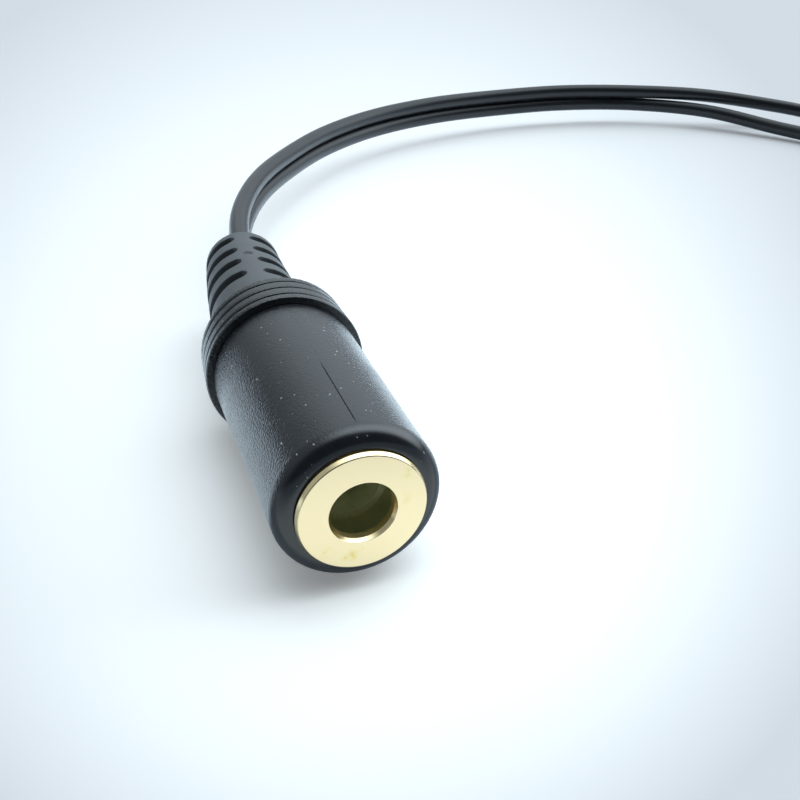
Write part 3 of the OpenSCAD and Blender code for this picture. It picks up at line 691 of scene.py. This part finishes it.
def makeCollar():
    # The ribs get narrower and lean towards +X from the first to the last
    c = collar
    last = len(c["ribs"]) - 1
    share = [k / last for k in range(last + 1)]
    outer = [c["ribR"][0] + (c["ribR"][1] - c["ribR"][0]) * t for t in share]
    corners = [(c["boreR"], c["ribs"][0][0], 0)]
    for k, (low, high) in enumerate(c["ribs"]):
        floor = outer[k] - c["depth"]
        if k:
            low += c["gap"]
            corners.append((floor, low, 0))
        (inward, along), (innerEdge, outerEdge) = c["bevel"], c["bevelEdges"]
        corners += [(outer[k] - inward, low, innerEdge), (outer[k], low + along, outerEdge)]
        if k < last:
            high -= c["gap"]
        corners.append((outer[k], high, c["edge"]))
        if k < last:
            corners.append((floor, high, 0))
    end = c["ribs"][-1][1]
    corners += [(c["leadR"], end, 0), (c["leadR"], c["wallAt"], 0), (c["boreR"], c["wallAt"], 0)]
    line = divideLine(roundCorners(corners, steps=4, support=0.02), c["longest"])
    columns = c["columns"]
    points = turnPoints(line, np.arange(columns) * tau / columns, socketAxis)
    rib = ribAt(points[:, 0, 1] - socketAxis["y"])
    points[:, :, 0] += (c["lean"] * rib / last)[:, None]
    piece = meshPiece("collar", points, gridFaces(len(line), columns, True),
                      finishes["collar_plastic"], sharpAngle=60)
    base = piece.data
    bpy.data.objects.remove(piece)
    places = np.array([v.co for v in base.vertices]) / mm
    along = places[:, 1] - socketAxis["y"]
    rib = ribAt(along + 0.001)
    r = np.hypot(places[:, 0] - c["lean"] * rib / last, places[:, 2] - socketAxis["z"])
    spans = np.array(c["ribs"])[rib]
    inset = np.minimum(along - spans[:, 0], spans[:, 1] - along)
    inward, down = c["chipReach"]
    storePoints(base, "edge", np.clip(1 - inset / inward, 0, 1) * (r > np.array(outer)[rib] - down))
    values = {"Chips": c["chips"] * mm, "Grains Per Metre": c["grains"],
              "Material": finishes["collar_plastic"]}
    return fixPiece(growMesh("ribbedCollar", base, raggedTree(), values),
                    "rear_boot")


# Where a slotted sleeve's grid lines run: beside the spine, across and round a slot, between slots
sleeve = dict(
    beside=[0, 0.1, 0.2, 0.3, 0.36, 0.4, 0.44, 0.52, 0.6, 0.66, 0.7, 0.705, 0.72, 0.745, 0.78,
            0.84, 0.92, 1.0, 1.1],
    besideFor=0.7, sideSteps=12, levels=(0.5, 0.8, 0.925, 1), rims=[0.012, 0.03, 0.06, 0.1, 0.16],
    between=(0.1, 0.2, 0.3, 0.36, 0.4, 0.44), foot=(0.12, 0.3, 0.6, 1.0), hidden=0.25,
    least=0.012, wall=0.03, deepest=10, tipSteps=9,
    endRings=((0.85, 0.0), (0.6, 0.12), (0.02, 0.12)))


def sleeveRows(shape, half):
    # Rows at a distance, or counted from a slot's curved edge: inside it, or outside it
    foot = shape.get("foot", 0)
    slots, pitch = shape["slots"], shape["slots"][1] - shape["slots"][0]
    above = [half * t for t in sleeve["levels"]]
    levels = [-t for t in reversed(above)] + [0] + above
    between = [-o for o in sleeve["between"][::-1]] + [0, *sleeve["between"]]
    rows = [("at", s) for s in np.linspace(-sleeve["hidden"], 0.0, 2)]
    rows += [("at", foot * t) for t in sleeve["foot"] if foot]
    rows += [("at", s) for s in np.linspace(foot + 0.3, slots[0] - half - 0.3, 10)]
    for k, centre in enumerate(slots):
        rows += [("out", centre, -o) for o in reversed(sleeve["rims"])]
        rows += [("in", centre, t / half) for t in levels]
        rows += [("out", centre, o) for o in sleeve["rims"]]
        if k < len(slots) - 1:
            rows += [("at", centre + pitch / 2 + o) for o in between]
    return rows + [("at", s) for s in np.linspace(slots[-1] + half + 0.25,
                                                  shape["length"] - shape["tipEdge"], 4)]


def slottedSleeve(name, shape, place, material):
    # A tapered sleeve with pairs of slots whose ends are round and leave a spine above and below
    half, spine = shape["slotW"] / 2, shape["spineW"] / 2
    capAt = spine + half
    least, rim, foot = sleeve["least"], shape["rim"], shape.get("foot", 0)
    beside = np.array(sleeve["beside"]) * spine / sleeve["besideFor"]
    roundFrom = shape["length"] - shape["tipEdge"]

    def outerR(s):
        return shape["rootR"] + (shape["tipR"] - shape["rootR"]) * s / shape["length"]

    def depthAt(s, x):
        cut = np.zeros_like(s)
        for centre in shape["slots"]:
            inside = half - np.hypot(s - centre, np.maximum(capAt - x, 0))
            soft = rim - np.sqrt(np.clip(rim ** 2 - np.clip(inside + rim, 0, rim) ** 2, 0, None))
            wall = np.clip(inside / sleeve["wall"], 0, 1)
            cut = np.maximum(cut, np.where(inside < 0, soft, rim + wall * sleeve["deepest"]))
        return cut

    def addRing(s, r):
        points.append(place(s, r * np.sin(turns), r * np.cos(turns)))

    points, deep = [], []
    for row in sleeveRows(shape, half):
        near = outerR(row[1])
        capTurn = math.asin(min(1, capAt / near))
        sides = np.linspace(capTurn, math.pi / 2, sleeve["sideSteps"] + 1)[1:]
        quarter = np.concatenate([np.arcsin(np.clip(beside / near, 0, 1)), sides])
        turns = np.concatenate([quarter, (math.pi - quarter)[::-1][1:]])
        turns = np.concatenate([turns, (tau - turns)[::-1][1:-1]])
        x = np.abs(np.sin(turns)) * near
        width = np.sqrt(np.clip(half ** 2 - np.maximum(capAt - x, 0) ** 2, 0, None))
        if row[0] == "at":
            s = np.full_like(x, row[1])
        elif row[0] == "in":
            s = row[1] + np.maximum(width, least) * row[2]
        else:
            s = row[1] + np.sign(row[2]) * np.maximum(width, least) + row[2]
        r = outerR(s)
        cut = depthAt(s, x)
        # How deep a point lies in a slot; the material paints shade there from it
        deep.append(np.clip(cut / rim - 0.5, 0, 1))
        r = np.maximum(r - cut, np.minimum(r, shape["coreR"]))
        if foot:
            bend = np.clip(foot - np.clip(s, 0, foot), 0, foot)
            rounding = foot - np.sqrt(np.clip(foot ** 2 - bend ** 2, 0, None))
            r = r + np.where(s < foot, rounding, 0)
        if "markAt" in shape:
            off = np.hypot(s - shape["markAt"], np.sin(turns) * near) / shape["markR"]
            pressed = np.clip((1 - off) / shape["markEdge"], 0, 1)
            r = r - shape["markDepth"] * pressed * (np.cos(turns) > 0)
        addRing(s, r)
    tipTurns = np.linspace(0, math.pi / 2, sleeve["tipSteps"])[1:]
    deep += [np.zeros_like(turns)] * (len(tipTurns) + len(sleeve["endRings"]))
    for turn in tipTurns:
        addRing(np.full_like(turns, roundFrom + shape["tipEdge"] * math.sin(turn)),
                outerR(roundFrom) - shape["tipEdge"] * (1 - math.cos(turn)))
    for ratio, back in sleeve["endRings"]:
        addRing(np.full_like(turns, shape["length"] - back),
                (outerR(roundFrom) - shape["tipEdge"]) * ratio)
    columns = len(turns)
    faces = gridFaces(len(points), columns, False)
    faces.append(tuple(range(columns)))
    faces.append(tuple(range((len(points) - 1) * columns, len(points) * columns)))
    return meshPiece(name, points, faces, material, sharpAngle=50, merge=0.0001, deep=deep)


def onBentBoot(s, side, up):
    bend = np.radians(boot["bend"])
    turn = bend * s
    x = (1 - np.cos(turn)) / bend + side * np.cos(turn)
    y = boot["startY"] + np.sin(turn) / bend - side * np.sin(turn)
    return np.stack([x, y, socketAxis["z"] + up], -1)


makeCollar()
fixPiece(slottedSleeve("slottedBoot", boot, onBentBoot, finishes["boot_plastic"]),
         "rear_boot")

print("plugs")
grip = dict(
    reliefEnd=11, face=29, gripR=5.8, waistR=4.9, shoulder=1.6, slopeAt=21, slopeEnd=23,
    slopeEdge=0.8, grooves=(14.7, 16.8, 18.9), grooveHalf=0.35, floorHalf=0.175, grooveDepth=0.3,
    softEdge=0.08, bandAt=25.4, bandEnd=27.4, bandR=5.2, bandEdge=0.05, faceEdge=0.4, seatR=4.6,
    coreR=3.6, coreEnd=21.55, coreAt=12.5, holeR=0.9, rootAt=10.6, rootR=(3.0, 3.2, 3.3),
    rootEdge=0.1)
band = dict(gap=0.01, edge=0.06)
relief = dict(
    length=11, rootR=3.2, tipR=2.1, coreR=1.35, slots=[1.6 + 2.4 * k for k in range(4)], slotW=0.8,
    spineW=1.4, rim=0.08, tipEdge=0.3)
shell = dict(
    innerR=4.15, outerR=4.6, back=21.55, mouth=38.0, slotFrom=31.0, slotHalf=0.5, slots=4,
    bevel=0.08, merge=0.000002, sharp=50, slotColumns=(0, 0.4, 0.75), columns=19,
    rows=[-6, -3, -1, 0, 0.6, 1.5, 3, 4.5, 6, 6.8])
pin = dict(
    r=1.6, back=23.0, face=28.5, tip=43.0, stops=(0, 4, 8), domeSteps=13, insulatorBack=22.0,
    gap=0.02, dishR=0.5, dish=0.15, dishEdge=0.1, rimEdge=0.05)


def plugAxis(side):
    return {"x": plugs["x"][side], "y": plugs["y"][side], "z": plugs["z"], "way": -1}


def gripLine():
    g = grip
    waist, soft = g["waistR"], g["softEdge"]
    roundedR = 0.999 * g["shoulder"]  # its arc has to end short of the corner before it
    corners = [(g["holeR"], g["rootAt"], 0), (g["rootR"][0], g["rootAt"], 0),
               (g["rootR"][1], g["reliefEnd"], g["rootEdge"]),
               (g["rootR"][2], g["reliefEnd"], 0), (waist, g["reliefEnd"], roundedR)]
    for at in g["grooves"]:
        corners += [(waist, at - g["grooveHalf"], soft),
                    (waist - g["grooveDepth"], at - g["floorHalf"], soft),
                    (waist - g["grooveDepth"], at + g["floorHalf"], soft),
                    (waist, at + g["grooveHalf"], soft)]
    corners += [(waist, g["slopeAt"], g["slopeEdge"]), (g["gripR"], g["slopeEnd"], g["slopeEdge"]),
                (g["gripR"], g["bandAt"], g["bandEdge"]), (g["bandR"], g["bandAt"], 0),
                (g["bandR"], g["bandEnd"], 0), (g["gripR"], g["bandEnd"], g["bandEdge"]),
                (g["gripR"], g["face"], g["faceEdge"]), (g["seatR"], g["face"], soft),
                (g["seatR"], g["coreEnd"], 0), (g["coreR"], g["coreEnd"], 0),
                (g["coreR"], g["coreAt"], 0), (g["holeR"], g["coreAt"], 0)]
    return roundCorners(corners, steps=6)


def shellTree():
    # Repeats one petal round the plug's axis
    tree, ins, outs = geometryTree("petalRing", ("Count", "Int", 4), ("Centre", "Vector"))
    row = addNode(tree, "GeometryNodeMeshLine", {"Count": ins[1], "Start Location": ins[2],
                                                 "Offset": (0.0, 0.0, 0.0)}, mode="OFFSET")
    index = addNode(tree, "GeometryNodeInputIndex")[0]
    share = times(tree, maths(tree, "DIVIDE", index, ins[1]), tau)
    turn = joinVector(tree, 0.0, share, 0.0)
    placed = addNode(tree, "GeometryNodeInstanceOnPoints",
                     {"Points": row[0], "Instance": ins[0], "Rotation": turn})[0]
    real = addNode(tree, "GeometryNodeRealizeInstances", {0: placed})[0]
    joined = addNode(tree, "GeometryNodeMergeByDistance", {0: real, "Distance": shell["merge"]})[0]
    return paintOut(tree, outs, joined, ins[3])


def petalMesh():
    # A quarter of the slotted cup's outer skin, from the middle of one slot to the next
    s = shell
    quarter = math.pi / s["slots"]
    slotTurn = s["slotHalf"] / s["outerR"]
    inSlot = [-quarter + t * slotTurn for t in s["slotColumns"]]
    petal = np.linspace(-quarter + slotTurn, quarter - slotTurn, s["columns"])
    turns = np.concatenate([inSlot, petal, [-t for t in reversed(inSlot)]])
    fromSlot = (quarter - np.abs(turns)) * s["outerR"]
    curve = np.sqrt(np.clip(s["slotHalf"] ** 2 - np.minimum(fromSlot, s["slotHalf"]) ** 2, 0, None))
    rowsAt = [s["back"] - s["slotFrom"], *s["rows"], s["mouth"] - s["slotFrom"]]
    slotStarts, beside, columns = rowsAt.index(0), len(inSlot), len(turns)
    points = []
    for d in rowsAt:
        y = s["slotFrom"] + d + (s["slotHalf"] - curve if d == 0 else 0 * curve)
        points.append(np.stack([s["outerR"] * np.sin(turns), -y, s["outerR"] * np.cos(turns)], -1))
    here = [(i, i * columns + j) for i in range(len(rowsAt) - 1) for j in range(columns - 1)
            if i < slotStarts or beside <= j < columns - 1 - beside]
    faces = [(at, at + 1, at + columns + 1, at + columns) for i, at in here]
    mesh = bpy.data.meshes.new("petal")
    mesh.from_pydata((np.array(points).reshape(-1, 3) * mm).tolist(), [], faces)
    return mesh


def makeShell(side, name, tree):
    axis = plugAxis(side)
    piece = growMesh(name + "EarthShell", petalMesh(), tree,
                     {"Count": shell["slots"], "Material": finishes["plug_metal"],
                      "Centre": (axis["x"] * mm, axis["y"] * mm, axis["z"] * mm)})
    work = bmesh.new()
    work.from_mesh(piece.data)
    bmesh.ops.delete(work, geom=[v for v in work.verts if not v.link_faces], context="VERTS")
    bmesh.ops.recalc_face_normals(work, faces=work.faces)
    middle = Vector((axis["x"], 0, axis["z"])) * mm
    for face in work.faces:
        out = face.calc_center_median() - middle
        if face.normal.x * out.x + face.normal.z * out.z < 0:
            face.normal_flip()
    work.to_mesh(piece.data)
    work.free()
    wall = piece.modifiers.new("wall", "SOLIDIFY")
    wall.thickness = (shell["outerR"] - shell["innerR"]) * mm
    wall.offset = -1
    edge = piece.modifiers.new("edge", "BEVEL")
    edge.width, edge.segments, edge.limit_method = shell["bevel"] * mm, 3, "ANGLE"
    edge.angle_limit = math.radians(shell["sharp"])
    edge.use_clamp_overlap = True
    made = keepShape(piece)
    made.shade_smooth()
    made.set_sharp_from_angle(angle=math.radians(shell["sharp"]))
    return fixPiece(piece, name + "_earth_shell")


def makePlug(side, name, tree):
    axis = plugAxis(side)
    made = [turnedPiece(name + "Grip", gripLine(), axis, "grip_plastic", name + "_plug_grip")]
    root = axis["y"] - relief["length"]

    def behindPlug(s, across, up):
        return np.stack([axis["x"] + across, root + s, axis["z"] + up], -1)

    tail = slottedSleeve(name + "Relief", relief, behindPlug, finishes["grip_plastic"])
    made.append(fixPiece(tail, name + "_plug_grip"))
    slot = ("white_band", "red_band")[side]
    start, end = grip["bandAt"] + band["gap"], grip["bandEnd"] - band["gap"]
    line = roundCorners([(grip["bandR"], start, 0), (grip["gripR"], start, band["edge"]),
                         (grip["gripR"], end, band["edge"]), (grip["bandR"], end, 0)])
    made.append(turnedPiece(name + "Band", line, axis, slot, name + "_colour_band"))
    made.append(makeShell(side, name, tree))
    holeR, face = pin["r"] + pin["gap"], pin["face"]
    line = roundCorners([
        (holeR, face - pin["dish"], 0), (pin["r"] + pin["dishR"], face, pin["dishEdge"]),
        (shell["innerR"], face, pin["rimEdge"]), (shell["innerR"], pin["insulatorBack"], 0),
        (holeR, pin["insulatorBack"], 0)])
    made.append(turnedPiece(name + "Insulator", line, axis, "insulator_white",
                            name + "_pin_insulator"))
    line = [Vector((0, pin["back"])), Vector((pin["r"], pin["back"]))]
    line += [Vector((pin["r"], face + d)) for d in pin["stops"]]
    line += [Vector((pin["r"] * math.cos(a), pin["tip"] - pin["r"] + pin["r"] * math.sin(a)))
             for a in np.linspace(0, math.pi / 2, pin["domeSteps"])]
    made.append(turnedPiece(name + "Pin", line, axis, "plug_metal", name + "_centre_pin", count=96))
    return made


petals = shellTree()
for side, name in enumerate(sides):
    farPieces = makePlug(side, name, petals) + [name + "_plug_core", name + "_plug_wire"]

print("inner pieces")
innerFinishes = {"tip_spring": "contact_metal", "ring_spring": "contact_metal",
                 "earth_lug": "tinned_metal", "solder_joints": "solder",
                 "inner_mould": "inner_plastic"}
for side in sides:
    innerFinishes.update({side + "_core_wire": "copper_strand",
                          side + "_shield_tail": "copper_strand",
                          side + "_plug_core": "inner_plastic",
                          side + "_plug_wire": "wire_insulation"})
for name, finish in innerFinishes.items():
    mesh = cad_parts[name].data
    mesh.materials.clear()
    mesh.materials.append(finishes[finish])


def smoothCopy(node, pieceName, finish):
    # A CAD node's shape as a joined mesh, so that its round walls shade smoothly
    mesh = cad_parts[node].data.copy()
    joinPoints(mesh, 0.001, 30, faceOut=False)
    mesh.materials.clear()
    mesh.materials.append(finishes[finish])
    return fixPiece(addObject(pieceName, mesh), node)


smoothCopy("contact_carrier", "contactCarrier", "carrier_plastic")

print("floor and light")
# white, far and least paint a pool of light on the floor, fading from the object outwards
floorLook = dict(
    size=3.0, centre=(4.2, -6.1), reach=(76.9, 46.3), turn=1.897, stretch=(4.1, 14.7),
    leastStretch=0.05, fadeEnd=1.13, white=(1.16, 1.16, 1.14), far=(0.4, 0.4, 0.43),
    # mirrored, mirroredFront and mirroredDim tint what glossy rays see: painted reflection and
    # painted shade
    least=(0.59, 0.59, 0.605), plain=0.84, glow=0.14, mirrored=(1.38, 1.5, 1.6),
    mirroredFront=(0.93, 0.96, 0.96), mirroredDim=(0.42, 0.47, 0.52),
    frontBand=(-33.5, -31.5, -19.4, -18.0), behindFrom=(-12.5, -8.5))


def paintedPoolColour(tree, here):
    # Painted pool of light: white in an oval round the object, darker and cooler away from it
    look = floorLook
    centred = vectorMaths(tree, "ADD", here, (*(-c * mm for c in look["centre"]), 0.0))
    turn = (0.0, 0.0, look["turn"])
    turned = addNode(tree, "ShaderNodeMapping", {0: centred, 2: turn})[0]
    scaled = vectorMaths(tree, "MULTIPLY", turned, (*(1000 / r for r in look["reach"]), 0))
    away = vectorMaths(tree, "LENGTH", scaled, out="Value")
    lean = vectorMaths(tree, "DOT_PRODUCT", centred, (*look["stretch"], 0.0), "Value")
    stretch = maths(tree, "MAXIMUM", maths(tree, "ADD", lean, 1.0), look["leastStretch"])
    faded = remap(tree, maths(tree, "DIVIDE", away, stretch), 0.0, look["fadeEnd"])
    colour = mixColour(tree, faded, look["white"], look["far"])
    return vectorMaths(tree, "MAXIMUM", colour, look["least"])


def paintedReflectionTint(tree, along):
    # Painted reflection for the glossy pieces: a bright band in front, painted shade beside it,
    # brighter behind
    look = floorLook
    far, near, close, under = (place * mm for place in look["frontBand"])
    inBand = times(tree, remap(tree, along, far, near), remap(tree, along, close, under, 1.0, 0.0))
    front = mixColour(tree, inBand, look["mirroredDim"], look["mirroredFront"])
    behind = remap(tree, along, *(place * mm for place in look["behindFrom"]))
    return mixColour(tree, behind, front, look["mirrored"])


def floorMaterial():
    # The eye and the glossy pieces see the floor somewhat lighter than it lights the object, and
    # the glossy pieces see it through a painted reflection tint
    material = bpy.data.materials.new("paleTable")
    material.use_nodes = True
    tree = material.node_tree
    here = addNode(tree, "ShaderNodeTexCoord")["Object"]
    rays = addNode(tree, "ShaderNodeLightPath")
    mirrored = paintedReflectionTint(tree, splitVector(tree, here)[1])
    tint = mixColour(tree, rays["Is Glossy Ray"], (1.0, 1.0, 1.0), mirrored)
    colour = vectorMaths(tree, "MULTIPLY", paintedPoolColour(tree, here), tint)
    seen = maths(tree, "MAXIMUM", rays["Is Camera Ray"], rays["Is Glossy Ray"])
    shown = scaleVector(tree, colour, remap(tree, seen, 0.0, 1.0, floorLook["plain"], 1.0))
    paint = addNode(tree, "ShaderNodeBsdfDiffuse", {"Color": shown})[0]
    strength = times(tree, seen, floorLook["glow"])
    glow = addNode(tree, "ShaderNodeEmission", {"Color": colour, "Strength": strength})[0]
    both = addNode(tree, "ShaderNodeAddShader", {0: paint, 1: glow})[0]
    tree.links.new(both, tree.nodes["Material Output"].inputs["Surface"])
    return material


def makeFloor():
    half = floorLook["size"] / 2
    mesh = bpy.data.meshes.new("table")
    mesh.from_pydata([(-half, -half, 0), (half, -half, 0), (half, half, 0), (-half, half, 0)],
                     [], [(0, 1, 2, 3)])
    mesh.materials.append(floorMaterial())
    addObject("table", mesh)


# Ramps over the view direction: start, end, then the values there
studio = dict(
    level=0.6, colour=(0.84, 0.95, 1.02), backdrop=0.8, backdropColour=(0.93, 0.97, 1.0),
    panelFrom=(-0.5, -0.12), panelBack=(-0.12, 0.85, 5.2, 1.5), panelAcross=(-0.6, 0.2, 0.1, 1.0),
    panelUp=(-0.05, 0.35, 0.45, 1.0), around=(-0.2, 0.4, 0.12, 0.4))


def makeWorld():
    # Pale studio: brightest overhead and on the right, dimmer on the left, dark behind the eye
    world = bpy.data.worlds.new("studio")
    scene.world = world
    world.use_nodes = True
    tree = world.node_tree
    shade = tree.nodes["Background"]
    x, y, z = splitVector(tree, addNode(tree, "ShaderNodeTexCoord")["Generated"])
    panel = remap(tree, y, *studio["panelFrom"])
    for way, ramp in ((y, "panelBack"), (x, "panelAcross"), (z, "panelUp")):
        panel = times(tree, panel, remap(tree, way, *studio[ramp]))
    light = maths(tree, "ADD", panel, remap(tree, y, *studio["around"]))
    lit = times(tree, light, studio["level"])
    seen = addNode(tree, "ShaderNodeLightPath")["Is Camera Ray"]
    strength = addNode(tree, "ShaderNodeMix", {0: seen, 2: lit, 3: studio["backdrop"]})[0]
    tree.links.new(strength, shade.inputs["Strength"])
    colour = mixColour(tree, seen, studio["colour"], studio["backdropColour"])
    tree.links.new(colour, shade.inputs["Color"])


makeFloor()
makeWorld()
scene.view_settings.view_transform = "Standard"
